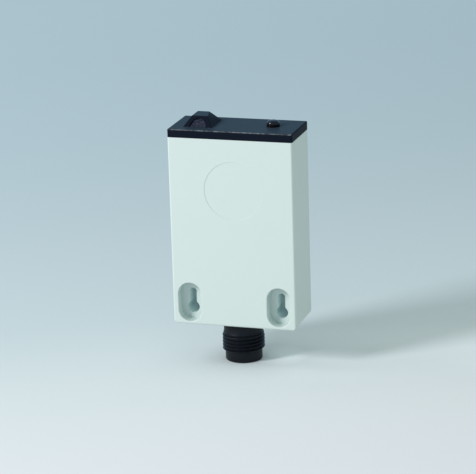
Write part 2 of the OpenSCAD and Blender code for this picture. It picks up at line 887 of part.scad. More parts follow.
// Resin poured over the connector's flange, round the tubes of the screw pockets
module sealing_resin() {
    color([0.2, 0.2, 0.21])
        difference() {
            translate([0, 0, floor_z])
                linear_extrude(resin_h)
                    round_rect(hollow_w - 2 * snug_gap, hollow_d - 2 * snug_gap, hollow_r - snug_gap);
            for (side = [-1, 1])
                translate([side * hole_x, 0, hole_z])
                    along_y(front_y, housing_d)
                        slot_outline(boss_r + snug_gap, key_travel);
            translate([0, 0, floor_z - overrun]) {
                cylinder(r = flange_r + snug_gap, h = flange_t + overrun + snug_gap);
                cylinder(r = collar_r + snug_gap, h = carrier_top_z - floor_z + overrun + snug_gap);
            }
            at_pins()
                translate([0, 0, floor_z])
                    cylinder(r = cup_r + snug_gap, h = resin_h + overrun, $fn = 32);
        }
}

housing();
end_cap();
cap_seal();
sensor_potting();
sensor_element();
sensor_leads();
indicator_lens();
status_lamp();
lamp_legs();
circuit_board();
controller_chip();
amplifier_chip();
chip_legs();
crystal();
buffer_capacitor();
supply_choke();
ceramic_capacitors();
resistors();
rectifier_diodes();
bus_transistor();
connector_shell();
contact_carrier();
contact_pins();
connector_o_ring();
connector_wires();
sealing_resin();
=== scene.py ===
import json
import math

import bmesh
import bpy
from mathutils import Matrix, Vector, noise


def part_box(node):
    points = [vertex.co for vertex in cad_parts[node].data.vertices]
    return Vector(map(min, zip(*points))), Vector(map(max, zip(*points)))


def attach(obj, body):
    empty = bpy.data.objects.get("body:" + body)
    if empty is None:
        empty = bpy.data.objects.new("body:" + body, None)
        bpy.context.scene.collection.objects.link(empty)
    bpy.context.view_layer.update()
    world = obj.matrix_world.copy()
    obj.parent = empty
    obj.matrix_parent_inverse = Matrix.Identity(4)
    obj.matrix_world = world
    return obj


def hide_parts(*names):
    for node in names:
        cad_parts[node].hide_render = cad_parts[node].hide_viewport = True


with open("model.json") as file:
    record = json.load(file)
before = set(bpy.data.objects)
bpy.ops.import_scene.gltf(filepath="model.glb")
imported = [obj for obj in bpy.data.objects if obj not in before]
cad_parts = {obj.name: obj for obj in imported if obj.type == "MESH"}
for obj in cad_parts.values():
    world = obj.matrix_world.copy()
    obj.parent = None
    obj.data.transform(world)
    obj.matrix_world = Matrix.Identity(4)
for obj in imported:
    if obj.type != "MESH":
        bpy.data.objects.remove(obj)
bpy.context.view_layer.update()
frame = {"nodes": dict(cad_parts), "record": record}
nodes = frame["nodes"]

MM = 0.001

# Camera, as fitted to the photograph: angles in degrees, lengths in millimetres
CAMERA_YAW = 17.62
CAMERA_ELEVATION = 16.58
CAMERA_ROLL = -1.75
CAMERA_DISTANCE = 714.74
CAMERA_ASIDE = -1.8
CAMERA_RAISED = 34.3
IMAGE_WIDTH_PX = 476
FOCAL_LENGTH_PX = 2507.8
SENSOR_WIDTH = 36

# What the camera sees, in metres from it
CLIP_START = 0.01
CLIP_END = 20

# Key lamp: where it stands as seen from the object, in degrees and metres, and its level
KEY_LEFT_OF_FRONT = 45.5
KEY_ELEVATION = 29
KEY_DISTANCE = 1.0
KEY_SIZE = 0.26
KEY_LEVEL = 0.61
KEY_TINT = (1.0, 0.97, 1.0)

# Overhead softbox, given the same way
TOP_LEFT_OF_FRONT = 78
TOP_ELEVATION = 54
TOP_DISTANCE = 1.0
TOP_SIZE = 0.36
TOP_LEVEL = 0.09
TOP_TINT = (1.0, 1.0, 1.0)

# Even light from all round, and what the camera and mirror-like faces see in its place
WORLD_LEVEL = 0.54
WORLD_TINT = (0.9, 1.02, 1.0, 1)
BACKDROP_TONE = (0.33, 0.45, 0.49, 1)
MIRRORED_TONE = (0.32, 0.56, 0.8, 1)

# Floor, in metres: painted shade darkens its tones from near to far, and painted light makes it paler beside
# the plug
FLOOR_REACH = 4
FLOOR_TONE_BAND = (-0.15, 0.55)
FLOOR_TONE_SKEW = -0.25
FLOOR_TONES = [
    (0.0, (0.83, 0.855, 0.9)), (0.12, (0.8, 0.83, 0.865)), (0.2, (0.735, 0.795, 0.82)),
    (0.28, (0.625, 0.72, 0.76)), (0.36, (0.6, 0.695, 0.755)), (0.46, (0.565, 0.67, 0.735)),
    (0.6, (0.545, 0.67, 0.75)), (0.8, (0.56, 0.69, 0.785)), (1.0, (0.595, 0.735, 0.825))]
# Painted light: the paper is made paler in a band beside the plug and in a spot at its foot
BESIDE_PAINTED_LIGHT = 0.07
BESIDE_DEPTH_BAND = (0.01, 0.026)
BESIDE_START_BAND = (0.004, 0.014)
PAINTED_LIGHT_SPOT = (0.009, 0.004, 0)
PAINTED_LIGHT_SPOT_R = 0.009
SPOT_PAINTED_LIGHT = 0.33
# Painted shade: the paper is darkened round the foot of the key lamp
UNDER_LAMP_SHADE = 0.3
UNDER_LAMP_SHADE_BAND = (0.1, 0.7)

# Plug connector, in millimetres: the CAD shell's sizes, with a cut thread that tapers off above
NOSE_R = 5.25
NOSE_L = 2.2
NOSE_EDGE = 0.3
NOSE_CHAMFER_SHARE = 0.3
NECK_R = 5.55
GROOVE_R = 4.77
GROOVE_H = 1.0
FLOOR_T = 2.4
FLANGE_R = 6.1
FLANGE_T = 1.4
COLLAR_R = 5.4
COLLAR_H = 2.2
BORE_R = 4.25
HEAD_R = 4.855
HEAD_SEAT_DEPTH = 0.8
NOSE_STEP = 0.05

# Its thread, in millimetres and turns: lead and length are measured from the nose's upper end
THREAD_R = 6.0
THREAD_LEAD = 0.22
THREAD_L = 6.4
THREAD_RUN_OUT = 1.4
THREAD_PITCH = 1.0
THREAD_DEPTH = 0.61
THREAD_PHASE = 0.2
THREAD_START_TURN = 1 / 6
CREST_SHARE = 0.1
ROOT_SHARE = 0.2
THREAD_COLUMNS = 144
THREAD_ROWS_PER_TURN = 16

# Coding key in the plug's bore, in millimetres
KEY_ANGLE = 45
KEY_WIDTH = 0.9
KEY_REACH = 0.6
KEY_LOW_Z = 1.3
KEY_HIGH_Z = 8.5
KEY_EDGE = 0.1

# Indicator lens, in millimetres
LENS_R = 1.85
LENS_FLANGE_T = 0.77
LENS_HOLLOW_R = 1.55
LENS_HOLLOW_TOP = 1.5
LENS_SIDE_H = 0.6
LENS_FULLNESS = 2.5
PLATE_T = 2.4
DOME_STEPS = 18
DOME_LAST_ANGLE = math.pi / 2 - 0.01
HOLLOW_TIP_R = 0.02
LENS_COLUMNS = 72

# Sensor window in the hood, in millimetres
HOOD_SLOPE_RISE = 2.7
HOOD_SLOPE_RUN = 2.8
CRUST_COLUMNS = 56
CRUST_ROWS = 32
CRUST_ROUGHNESS = 0.16
CRUST_COARSE = 2.2
CRUST_FINE = 7.0
CRUST_FINE_SHARE = 0.35
CRUST_FRACTAL_H = 0.8
CRUST_LACUNARITY = 2.1
CRUST_OCTAVES = 4
CRUST_SINK = 0.06
CRUST_EDGE = 0.03
CRUST_LIFT = 0.03
CRUST_LEAST_H = 0.01
CRUST_T = 0.35
CRUST_FADE = 6
CRUST_FOOT_SHARE = 0.05

# Screw pockets, in millimetres: they lie between two heights above the housing's foot
SCREW_HOLE_X = 13
POCKET_DEPTH = 3.2
POCKET_TOP = 13
POCKET_FOOT = 0.6

# Painted shade in the pockets and painted light in the keyholes, in millimetres: fading out to the right and
# in from their faces
TINT_ACROSS = 2.2
TINT_SIDE_MARGIN = 1
TINT_REAR_MARGIN = 0.1
TINT_FADE = 0.2
KEYHOLE_START = 0.1

# Where the rounded edges lie, in millimetres from the housing's foot or in from its faces
RIM_FOOT = 0.7
RECESS_LOW = 30
RECESS_HIGH = 49
SEAM_BAND = 0.8
WINDOW_BAND = 0.08
SAME_HEIGHT = 0.02
PLATE_SLACK = 0.01

# Tracks on the board and colour borders of the wires, in millimetres
TRACK_L = 5.2
TRACK_PITCH = 1.3
TRACK_W = 0.16
WIRE_SIDE_X = 1.5
WIRE_REAR_Y = 0.9

# Rounding of moulded edges, in millimetres
POCKET_RIM = 0.22
RECESS_RIM = 0.05
SEAM_EDGE = 0.08
HOOD_EDGE = 0.22
WINDOW_RIM = 0.12
HIDDEN_EDGE = 0.1

# Joining of a CAD mesh's corners and flat faces, in millimetres and degrees
SAME_CORNER = 0.001
SAME_FACE = 0.6

# Colours of what the photograph shows
HOUSING_COLOR = (0.652, 0.741, 0.704)
# Painted shade in the screw pockets
POCKET_SHADE_COLOR = (0.575, 0.68, 0.665)
# Painted light in the keyholes
KEYHOLE_LIGHT_COLOR = (0.73, 0.88, 0.87)
CAP_COLOR = (0.0076, 0.011, 0.0194)
# Painted bluish sheen on the end cap's upward faces
CAP_TOP_SHEEN_COLOR = (0.165, 0.267, 0.356)
# Painted highlight along the edges of the end cap's plate
CAP_EDGE_HIGHLIGHT_COLOR = (0.17, 0.19, 0.21)
PLUG_COLOR = (0.0038, 0.0056, 0.009)
LENS_COLOR = (0.0045, 0.0025, 0.0045)
POTTING_TONES = [
    (0.25, (0.0012, 0.0015, 0.0045)), (0.45, (0.003, 0.0036, 0.01)),
    (0.62, (0.0095, 0.011, 0.026)), (0.8, (0.03, 0.034, 0.066))]

# Painted light on the end cap: bands of how far a face is tilted up, and of the noise that breaks up the
# painted highlight
CAP_TOP_SHEEN_SHARE = 0.12
SHEEN_TILT_BAND = (0.8, 0.99)
HIGHLIGHT_TILT_BAND = (0.3, 0.45)
HIGHLIGHT_NOISE_BAND = (0.4, 0.62)
HIGHLIGHT_LEAST_SHARE = 0.2
HIGHLIGHT_GRAIN = 1.6

# Moulded plastic, in millimetres: slow changes of tone and gloss, and waves of the face
TONE_GRAIN = 9
GLOSS_GRAIN = 3
WAVE_GRAIN = 2.5
GLOSS_CHANGE = 0.05


def direction(left_of_front, elevation):
    """The way from the object to what stands that far left of its front and that high, in degrees."""
    aside, raised = math.radians(left_of_front), math.radians(elevation)
    level = math.cos(raised)
    return Vector((-math.sin(aside) * level, -math.cos(aside) * level, math.sin(raised)))


def corner(node, high):
    """The lowest or the highest corner of a CAD node, in millimetres."""
    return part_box(node)[1 if high else 0] / MM


HOUSING_LOW = corner("housing", False)
HOUSING_HIGH = corner("housing", True)
CAP_TOP_Z = HOUSING_HIGH.z + PLATE_T
LENS_SIDE_TOP = CAP_TOP_Z + LENS_SIDE_H
LENS_LOW = corner("indicator_lens", False)
LENS_HIGH = corner("indicator_lens", True)
POTTING_LOW = corner("sensor_potting", False)
POTTING_HIGH = corner("sensor_potting", True)
HOOD_X = (POTTING_LOW.x + POTTING_HIGH.x) / 2
WINDOW_HALF = (POTTING_HIGH.x - POTTING_LOW.x) / 2
WINDOW_RISE = POTTING_HIGH.z - CAP_TOP_Z
THREAD_START_Z = NOSE_L + THREAD_LEAD
THREAD_TOP_Z = NOSE_L + THREAD_L
FLANGE_Z = HOUSING_LOW.z + FLOOR_T
GROOVE_MID_Z = HOUSING_LOW.z + FLOOR_T / 2
COLLAR_TOP_Z = FLANGE_Z + FLANGE_T + COLLAR_H
HEAD_SEAT_Z = COLLAR_TOP_Z - HEAD_SEAT_DEPTH
KEY_FOOT = direction(KEY_LEFT_OF_FRONT, KEY_ELEVATION) * KEY_DISTANCE
KEY_FOOT.z = 0


# Materials

def shade(color, factor):
    return tuple(min(1.0, c * factor) for c in color)


def with_alpha(color):
    return (*color, 1)


class Nodes:
    """Short ways to add nodes to a tree and to join them."""

    def __init__(self, tree):
        self.tree = tree

    def set(self, node, key, value):
        if isinstance(value, bpy.types.NodeSocket):
            self.tree.links.new(value, node.inputs[key])
        else:
            node.inputs[key].default_value = value

    def add(self, kind, inputs=None, **settings):
        node = self.tree.nodes.new(kind)
        for key, value in settings.items():
            setattr(node, key, value)
        for key, value in (inputs or {}).items():
            self.set(node, key, value)
        return node

    def math(self, operation, a, b):
        return self.add("ShaderNodeMath", {0: a, 1: b}, operation=operation).outputs["Value"]

    def vector(self, operation, a, b=(0, 0, 0)):
        """Vector mathematics, which gives a number or a vector."""
        made = self.add("ShaderNodeVectorMath", {0: a, 1: b}, operation=operation)
        return made.outputs["Value" if operation in ("DISTANCE", "LENGTH", "DOT_PRODUCT") else "Vector"]

    def mix(self, share, a, b):
        return self.add("ShaderNodeMix", {0: share, 6: a, 7: b}, data_type="RGBA").outputs[2]


class Material(Nodes):
    """A procedural material: a Principled shader, the place on the object, and textures."""

    def __init__(self, name, color, roughness, **constants):
        self.made = bpy.data.materials.new(name)
        self.made.use_nodes = True
        super().__init__(self.made.node_tree)
        self.shader = self.tree.nodes["Principled BSDF"]
        self.place = self.add("ShaderNodeTexCoord").outputs["Object"]
        self.color(with_alpha(color))
        self.roughness(roughness)
        for key, value in constants.items():
            self.set(self.shader, key.replace("_", " "), value)

    def noise(self, grain_mm, detail=3.0, roughness=0.55, place=None):
        """Noise whose grains are about grain_mm across."""
        made = self.add("ShaderNodeTexNoise", {
            "Vector": place or self.place, "Scale": 1 / (grain_mm * MM),
            "Detail": detail, "Roughness": roughness})
        return made.outputs["Fac"]

    def cells(self, grain_mm):
        """Distance from the middles of cells that are about grain_mm across."""
        made = self.add("ShaderNodeTexVoronoi", {"Vector": self.place, "Scale": 1 / (grain_mm * MM)})
        return made.outputs["Distance"]

    def spread(self, value, low, high, low_in=0.0, high_in=1.0):
        """value, spread from the range low_in to high_in over the range low to high."""
        made = self.add("ShaderNodeMapRange", {
            "Value": value, "From Min": low_in, "From Max": high_in, "To Min": low, "To Max": high})
        return made.outputs["Result"]

    def ramp(self, value, stops):
        made = self.add("ShaderNodeValToRGB", {"Fac": value})
        elements = made.color_ramp.elements
        while len(elements) < len(stops):
            elements.new(0.5)
        for element, (position, color) in zip(elements, stops):
            element.position = position
            element.color = with_alpha(color)
        return made.outputs["Color"]

    def axes(self):
        return self.add("ShaderNodeSeparateXYZ", {"Vector": self.place}).outputs

    def stretched(self, x, y, z):
        """The place, squeezed along each axis, so that grains lengthen along the others."""
        return self.vector("MULTIPLY", self.place, (x, y, z))

    def color(self, value):
        self.set(self.shader, "Base Color", value)

    def roughness(self, value):
        self.set(self.shader, "Roughness", value)

    def bump(self, *layers):
        """Bumps from (height, depth in millimetres) pairs, one on top of the other."""
        normal = None
        for height, depth_mm in layers:
            inputs = {"Height": height, "Distance": depth_mm * MM, "Strength": 1.0}
            if normal is not None:
                inputs["Normal"] = normal
            normal = self.add("ShaderNodeBump", inputs).outputs["Normal"]
        self.set(self.shader, "Normal", normal)


def cap_painted_light(m, surface):
    """The end cap's colour: a painted bluish sheen on its upward faces, and a painted highlight along the
    plate's long rounded edges.
    """
    tilt = m.add("ShaderNodeSeparateXYZ", {"Vector": m.add("ShaderNodeTexCoord").outputs["Normal"]}).outputs
    half_up = m.math("MULTIPLY", m.math("ABSOLUTE", tilt["Y"], 0), tilt["Z"])
    rounded = m.spread(half_up, 0, 1, *HIGHLIGHT_TILT_BAND)
    on_plate = m.math("LESS_THAN", m.axes()["Z"], (CAP_TOP_Z + PLATE_SLACK) * MM)
    broken = m.spread(m.noise(HIGHLIGHT_GRAIN, detail=3, roughness=0.7), HIGHLIGHT_LEAST_SHARE, 1, *HIGHLIGHT_NOISE_BAND)
    # Painted sheen on the upward faces
    top_sheen = m.spread(tilt["Z"], 0, CAP_TOP_SHEEN_SHARE, *SHEEN_TILT_BAND)
    with_top_sheen = m.mix(top_sheen, surface, with_alpha(CAP_TOP_SHEEN_COLOR))
    # Painted highlight along the plate's rounded edges, broken up by noise
    blend = m.math("MULTIPLY", m.math("MULTIPLY", rounded, on_plate), broken)
    return m.mix(blend, with_top_sheen, with_alpha(CAP_EDGE_HIGHLIGHT_COLOR))


def pocket_painted_shade_and_light(m, surface):
    """The housing's colour: painted shade dims the left of each screw pocket, and painted light brightens
    the keyholes behind.
    """
    axes = m.axes()
    front_y, floor_y = HOUSING_LOW.y, HOUSING_LOW.y + POCKET_DEPTH
    low = m.math("LESS_THAN", axes["Z"], (HOUSING_LOW.z + POCKET_TOP) * MM)
    above = m.math("GREATER_THAN", axes["Z"], (HOUSING_LOW.z + POCKET_FOOT) * MM)
    between = m.math("LESS_THAN", m.math("ABSOLUTE", axes["X"], 0), (HOUSING_HIGH.x - TINT_SIDE_MARGIN) * MM)
    before_rear = m.math("LESS_THAN", axes["Y"], (HOUSING_HIGH.y - TINT_REAR_MARGIN) * MM)
    inside = m.math("MULTIPLY", m.math("MULTIPLY", low, above), m.math("MULTIPLY", between, before_rear))
    side = m.math("SIGN", axes["X"], 0)
    across = m.math("SUBTRACT", axes["X"], m.math("MULTIPLY", side, SCREW_HOLE_X * MM))
    # Painted shade on the left of each pocket, growing deeper inwards
    shaded = m.math("MULTIPLY", inside, m.spread(across, 1, 0, 0, TINT_ACROSS * MM))
    depth = m.spread(axes["Y"], 0, 1, (front_y + TINT_FADE) * MM, (floor_y - TINT_FADE) * MM)
    in_pocket = m.math("MULTIPLY", shaded, depth)
    # Painted light in the keyholes behind the pocket floor
    behind_floor = m.math("GREATER_THAN", axes["Y"], (floor_y + KEYHOLE_START) * MM)
    in_keyhole = m.math("MULTIPLY", inside, behind_floor)
    return m.mix(in_keyhole, m.mix(in_pocket, surface, with_alpha(POCKET_SHADE_COLOR)), with_alpha(KEYHOLE_LIGHT_COLOR))


def moulded(name, color, roughness, grain_mm=0.12, grain_depth=0.004, tone=0.03, painted_light=None, **constants):
    """Moulded plastic: a spark-eroded grain, slow tone and gloss changes, and fine specks."""
    m = Material(name, color, roughness, **constants)
    slow = m.noise(TONE_GRAIN, detail=2)
    specks = m.noise(grain_mm * 2.5, detail=2)
    blend = m.math("ADD", m.spread(slow, -tone, tone), m.spread(specks, -tone / 2, tone / 2))
    surface = m.mix(m.spread(blend, 0, 1, -1.5 * tone, 1.5 * tone), with_alpha(shade(color, 1 - tone)),
                    with_alpha(shade(color, 1 + tone)))
    # Where given, painted shade and painted light are laid over the plastic's own tone here
    m.color(painted_light(m, surface) if painted_light else surface)
    m.roughness(m.spread(m.noise(GLOSS_GRAIN, detail=4), roughness - GLOSS_CHANGE, roughness + GLOSS_CHANGE))
    m.bump((m.noise(grain_mm, detail=2), grain_depth), (m.noise(WAVE_GRAIN, detail=1), grain_depth * 2))
    return m.made


def potting_material():
    """Rough mineral-filled compound: purple-black, with paler grains and pits."""
    m = Material("potting_compound", (0.03, 0.025, 0.04), 0.55, Specular_IOR_Level=0.3)
    grains = m.cells(0.42)
    fine = m.noise(0.18, detail=4)
    mottle = m.math("ADD", m.math("MULTIPLY", grains, 0.6), m.math("MULTIPLY", fine, 0.6))
    m.color(m.ramp(mottle, POTTING_TONES))
    m.roughness(m.spread(fine, 0.42, 0.75))
    m.bump((grains, 0.09), (fine, 0.05))
    return m.made


def lens_material():
    """Red moulding so deep that it looks black, with a polished face."""
    m = Material("lens_plastic", LENS_COLOR, 0.06, Transmission_Weight=0.03, IOR=1.49,
                 Specular_IOR_Level=0.38)
    haze = m.noise(1.1, detail=2)
    m.color(m.mix(haze, with_alpha(shade(LENS_COLOR, 0.8)), with_alpha(shade(LENS_COLOR, 1.15))))
    m.roughness(m.spread(haze, 0.04, 0.09))
    m.bump((m.noise(1.6, detail=1), 0.003))
    return m.made


def metal(name, color, roughness, along=(1, 1, 1), grain_mm=0.05, depth=0.002):
    """Bright metal with fine drawing or turning marks; along squeezes the marks' grain."""
    m = Material(name, color, roughness, Metallic=1.0)
    marks = m.noise(grain_mm, detail=3, place=m.stretched(*along))
    cloud = m.noise(1.5, detail=3)
    m.color(m.mix(cloud, with_alpha(shade(color, 0.9)), with_alpha(shade(color, 1.06))))
    m.roughness(m.spread(marks, roughness - 0.06, roughness + 0.1))
    m.bump((marks, depth))
    return m.made


def rubber():
    color = (0.016, 0.016, 0.017)
    m = Material("seal_rubber", color, 0.72)
    bloom = m.noise(0.8, detail=4)
    m.color(m.mix(bloom, with_alpha(shade(color, 0.8)), with_alpha(shade(color, 1.5))))
    m.roughness(m.spread(bloom, 0.62, 0.82))
    m.bump((m.noise(0.15, detail=2), 0.006))
    return m.made


def board_material():
    """Green solder mask over a grid of copper tracks."""
    m = Material("board_laminate", (0.01, 0.11, 0.05), 0.28)
    axes = m.axes()
    upright = m.add("ShaderNodeCombineXYZ", {"X": axes["X"], "Y": axes["Z"]}).outputs["Vector"]
    tracks = m.add("ShaderNodeTexBrick", {
        "Vector": upright, "Scale": 1.0,
        "Brick Width": TRACK_L * MM, "Row Height": TRACK_PITCH * MM, "Mortar Size": TRACK_W * MM,
        "Color1": (0, 0, 0, 1), "Color2": (0, 0, 0, 1), "Mortar": (1, 1, 1, 1)}).outputs["Color"]
    m.color(m.mix(tracks, (0.008, 0.09, 0.045, 1), (0.03, 0.24, 0.1, 1)))
    m.roughness(m.spread(m.noise(2, detail=3), 0.22, 0.36))
    m.bump((tracks, 0.03), (m.noise(0.3, detail=3), 0.005))
    return m.made


def wire_material():
    """Sleeves in four colours, told apart by which side of the connector they leave."""
    m = Material("wire_insulation", (0.2, 0.1, 0.05), 0.35)
    axes = m.axes()
    left = m.math("LESS_THAN", axes["X"], -WIRE_SIDE_X * MM)
    right = m.math("GREATER_THAN", axes["X"], WIRE_SIDE_X * MM)
    rear = m.math("GREATER_THAN", axes["Y"], WIRE_REAR_Y * MM)
    middle = m.mix(rear, (0.025, 0.025, 0.027, 1), (0.75, 0.74, 0.7, 1))
    sides = m.mix(left, middle, (0.13, 0.055, 0.02, 1))
    sleeves = m.mix(right, sides, (0.02, 0.07, 0.35, 1))
    cloud = m.noise(0.7, detail=3)
    m.color(m.mix(m.spread(cloud, 0, 0.12), sleeves, (0.5, 0.5, 0.5, 1)))
    m.roughness(m.spread(cloud, 0.3, 0.42))
    m.bump((cloud, 0.01))
    return m.made


def paint(thing, material):
    """Gives a piece or a CAD node one material over every slot."""
    if not thing.data.materials:
        thing.data.materials.append(material)
    for material_slot in thing.material_slots:
        material_slot.material = material


MATERIALS = {
    # The housing gets painted shade in its pockets and painted light in its keyholes; the end cap gets a
    # painted sheen and a painted edge highlight
    "housing_plastic": moulded("housing_plastic", HOUSING_COLOR, 0.42, grain_mm=0.14, grain_depth=0.003,
                               tone=0.012, painted_light=pocket_painted_shade_and_light),
    "cap_plastic": moulded("cap_plastic", CAP_COLOR, 0.38, grain_mm=0.16, grain_depth=0.006, tone=0.12,
                           painted_light=cap_painted_light, Specular_IOR_Level=0.019),
    "seal_rubber": rubber(),
    "potting_compound": potting_material(),
    "sensor_ceramic": moulded("sensor_ceramic", (0.78, 0.78, 0.75), 0.3, grain_mm=0.08, tone=0.04),
    "tinned_wire": metal("tinned_wire", (0.72, 0.72, 0.73), 0.3, along=(1, 1, 0.05)),
    "lens_plastic": lens_material(),
    "lamp_epoxy": moulded("lamp_epoxy", (0.4, 0.02, 0.03), 0.15, tone=0.05, Transmission_Weight=0.3),
    "board_laminate": board_material(),
    "chip_epoxy": moulded("chip_epoxy", (0.016, 0.016, 0.018), 0.6, grain_mm=0.06, grain_depth=0.005,
                          tone=0.2),
    "can_metal": metal("can_metal", (0.7, 0.7, 0.72), 0.3, along=(0.05, 1, 1)),
    "choke_ferrite": moulded("choke_ferrite", (0.05, 0.05, 0.055), 0.55, grain_mm=0.1, grain_depth=0.01,
                             tone=0.2),
    "capacitor_ceramic": moulded("capacitor_ceramic", (0.36, 0.22, 0.12), 0.45, grain_mm=0.08, tone=0.1),
    "connector_plastic": moulded("connector_plastic", PLUG_COLOR, 0.42, grain_mm=0.1, grain_depth=0.004,
                                 tone=0.15, Specular_IOR_Level=0.2),
    "carrier_plastic": moulded("carrier_plastic", (0.014, 0.016, 0.02), 0.45, grain_mm=0.1, tone=0.12),
    "contact_gold": metal("contact_gold", (0.83, 0.6, 0.24), 0.24, along=(1, 1, 6)),
    "wire_insulation": wire_material(),
    "resin": moulded("resin", (0.018, 0.018, 0.02), 0.35, grain_mm=0.6, grain_depth=0.02, tone=0.15),
}


# Pieces

def placed(name, data):
    """A new object in the scene."""
    made = bpy.data.objects.new(name, data)
    bpy.context.scene.collection.objects.link(made)
    return made


def piece(name, mesh, material_slot, *replaced):
    """A new piece from a mesh in metres, which rides on the part's one body."""
    made = placed(name, mesh)
    paint(made, MATERIALS[material_slot])
    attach(made, "root")
    if replaced:
        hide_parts(*replaced)
    return made


def to_metres(bm):
    bmesh.ops.scale(bm, vec=(MM, MM, MM), verts=bm.verts)


def finish_mesh(bm, name, crease_degrees=32):
    """Turns a bmesh into a smooth-shaded mesh with its sharp edges marked."""
    bmesh.ops.recalc_face_normals(bm, faces=bm.faces)
    for face in bm.faces:
        face.smooth = True
    for edge in bm.edges:
        edge.smooth = len(edge.link_faces) == 2 and edge.calc_face_angle(0) < math.radians(crease_degrees)
    mesh = bpy.data.meshes.new(name)
    bm.to_mesh(mesh)
    bm.free()
    return mesh


def even_normals(thing):
    """Keeps flat faces flat beside their rounded edges."""
    modifier = thing.modifiers.new("even_normals", "WEIGHTED_NORMAL")
    modifier.keep_sharp = True
    modifier.weight = 100


def clean_copy(node):
    """A CAD node's mesh as a bmesh in millimetres, with doubled corners joined and flat faces whole."""
    bm = bmesh.new()
    bm.from_mesh(nodes[node].data)
    bmesh.ops.scale(bm, vec=(1 / MM, 1 / MM, 1 / MM), verts=bm.verts)
    bmesh.ops.remove_doubles(bm, verts=bm.verts, dist=SAME_CORNER)
    bmesh.ops.dissolve_limit(bm, angle_limit=math.radians(SAME_FACE), verts=bm.verts, edges=bm.edges)
    return bm


def round_edges(bm, width, chosen, segments=3, least_degrees=30):
    """Rounds the sharp edges that chosen accepts, by width in millimetres."""
    least = math.radians(least_degrees)
    edges = [e for e in bm.edges if len(e.link_faces) == 2 and e.calc_face_angle(0) > least
             and chosen(*[v.co for v in e.verts])]
    bmesh.ops.bevel(bm, geom=edges, offset=width, offset_type="OFFSET", segments=segments, profile=0.5,
                    affect="EDGES", clamp_overlap=True)


def in_plane(axis, value):
    """A test for edges that lie in the plane where that axis has that value."""
    return lambda a, b: abs(a[axis] - value) < SAME_HEIGHT and abs(b[axis] - value) < SAME_HEIGHT


def cap_seam(a, b):
    """Whether an edge lies on the outer line between housing and cap."""
    beside = max(abs(a.x), abs(b.x)) > HOUSING_HIGH.x - SEAM_BAND
    before = max(abs(a.y), abs(b.y)) > HOUSING_HIGH.y - SEAM_BAND
    return in_plane(2, HOUSING_HIGH.z)(a, b) and (beside or before)


def housing_mesh():
    bm = clean_copy("housing")
    foot, on_front, on_rear = HOUSING_LOW.z, in_plane(1, HOUSING_LOW.y), in_plane(1, HOUSING_HIGH.y)

    def pocket_rim(a, b):
        return on_front(a, b) and foot + RIM_FOOT < a.z < foot + POCKET_TOP

    def recess_rim(a, b):
        return on_front(a, b) and foot + RECESS_LOW < a.z < foot + RECESS_HIGH

    def rear_rim(a, b):
        return on_rear(a, b) and foot + RIM_FOOT < a.z < foot + POCKET_TOP

    round_edges(bm, POCKET_RIM, pocket_rim, segments=4)
    round_edges(bm, RECESS_RIM, recess_rim, segments=2)
    round_edges(bm, HIDDEN_EDGE, rear_rim, segments=2)
    round_edges(bm, SEAM_EDGE, cap_seam, segments=2)
    to_metres(bm)
    return finish_mesh(bm, "housing_shell")


def cap_mesh():
    bm = clean_copy("end_cap")
    top = CAP_TOP_Z

    def near_window(a, b):
        beside = max(abs(a.x - HOOD_X), abs(b.x - HOOD_X)) < WINDOW_HALF + WINDOW_BAND
        return beside and max(a.z, b.z) < top + WINDOW_RISE + WINDOW_BAND

    def hood_edge(a, b):
        above = min(a.z, b.z) > top - SAME_HEIGHT
        return above and not near_window(a, b) and not in_plane(2, top)(a, b)

    def window_rim(a, b):
        return near_window(a, b) and min(a.z, b.z) > top + PLATE_SLACK

    round_edges(bm, HOOD_EDGE, hood_edge, segments=4, least_degrees=20)
    round_edges(bm, WINDOW_RIM, window_rim, segments=2)
    round_edges(bm, SEAM_EDGE, cap_seam, segments=2)
    to_metres(bm)
    return finish_mesh(bm, "end_cap_shell")


def turned(rows, columns):
    """A closed turned body from a loop of (radius, height) rows; a radius may be a function of the angle."""
    bm = bmesh.new()
    rings = []
    for radius, height in rows:
        ring = []
        for i in range(columns):
            angle = 2 * math.pi * i / columns
            r = radius(angle) if callable(radius) else radius
            ring.append(bm.verts.new((r * math.cos(angle) * MM, r * math.sin(angle) * MM, height * MM)))
        rings.append(ring)
    for ring, following in zip(rings, rings[1:] + rings[:1]):
        for i in range(columns):
            j = (i + 1) % columns
            bm.faces.new((ring[i], ring[j], following[j], following[i]))
    return bm


def thread_radius(height):
    """The thread's radius round the shell at that height: right-handed, tapering off at its upper end."""
    run_out = min(1.0, (THREAD_TOP_Z - height) / THREAD_RUN_OUT)
    crest = NECK_R + (THREAD_R - NECK_R) * run_out

    def at(angle):
        turn = angle / (2 * math.pi)
        if height < THREAD_START_Z + (turn - THREAD_START_TURN) % 1.0 * THREAD_PITCH:
            return NOSE_R
        flank = abs(2 * ((height / THREAD_PITCH - turn - THREAD_PHASE) % 1.0) - 1)
        cut = min(1.0, max(0.0, (flank - CREST_SHARE) / (1 - CREST_SHARE - ROOT_SHARE)))
        return min(crest, THREAD_R - THREAD_DEPTH * cut)

    return at


